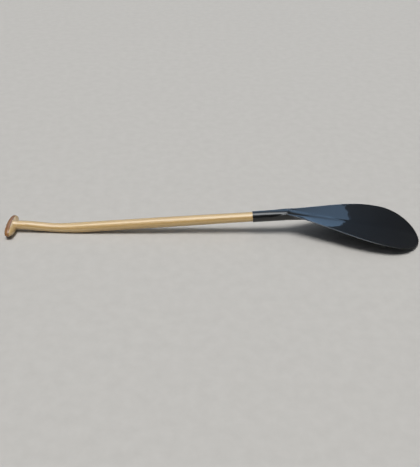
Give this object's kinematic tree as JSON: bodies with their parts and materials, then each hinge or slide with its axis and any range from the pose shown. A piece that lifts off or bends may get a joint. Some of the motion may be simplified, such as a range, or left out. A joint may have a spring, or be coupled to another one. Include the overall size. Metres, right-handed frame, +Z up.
{
  "type": "bent-shaft canoe paddle",
  "caption": "Single-bladed paddle with a bent laminated wooden shaft, a wooden T grip and a glossy black carbon teardrop blade on a tubular neck.",
  "frame": {"origin": "centre of the bounding box on the floor, with the paddle lying at rest, power face up", "axes": "+X along the paddle from the grip to the blade tip, +Y across the blade, +Z up out of the power face"},
  "size_m": [1.2422, 0.237, 0.0853],
  "materials": {
    "shaft_wood": "straight-grained pale golden softwood strip under clear gloss varnish",
    "shaft_wood_dark": "slightly darker golden strip of the same wood under clear gloss varnish",
    "warm_wood": "reddish-brown hardwood, domed and varnished to a gloss",
    "dark_wood": "thin dark veneer, varnished",
    "pale_wood": "pale straight-grained wood, varnished where it shows",
    "adhesive": "cured epoxy film, semi-matt",
    "carbon_skin": "black carbon-fibre laminate with a polished clear epoxy surface",
    "carbon_liner": "carbon-fibre tube, satin cut edge at the mouth",
    "edge_resin": "black resin and fibre rim, sanded and clear coated, slightly worn",
    "foam": "rigid closed-cell foam, hidden inside the blade"
  },
  "bodies": {
    "root": {"grip_palm_cap": "warm_wood", "grip_accent_veneer": "dark_wood", "grip_base": "pale_wood", "grip_bond": "adhesive", "shaft_lamination_1": "shaft_wood", "shaft_lamination_2": "shaft_wood_dark", "shaft_lamination_3": "shaft_wood", "shaft_lamination_4": "shaft_wood_dark", "shaft_lamination_5": "shaft_wood", "socket_liner": "carbon_liner", "socket_bond": "adhesive", "socket_plug": "foam", "power_face_skin": "carbon_skin", "back_face_skin": "carbon_skin", "foam_core_left": "foam", "foam_core_right": "foam", "spine_stringer": "pale_wood", "edge_band": "edge_resin"}
  },
  "joints": []
}
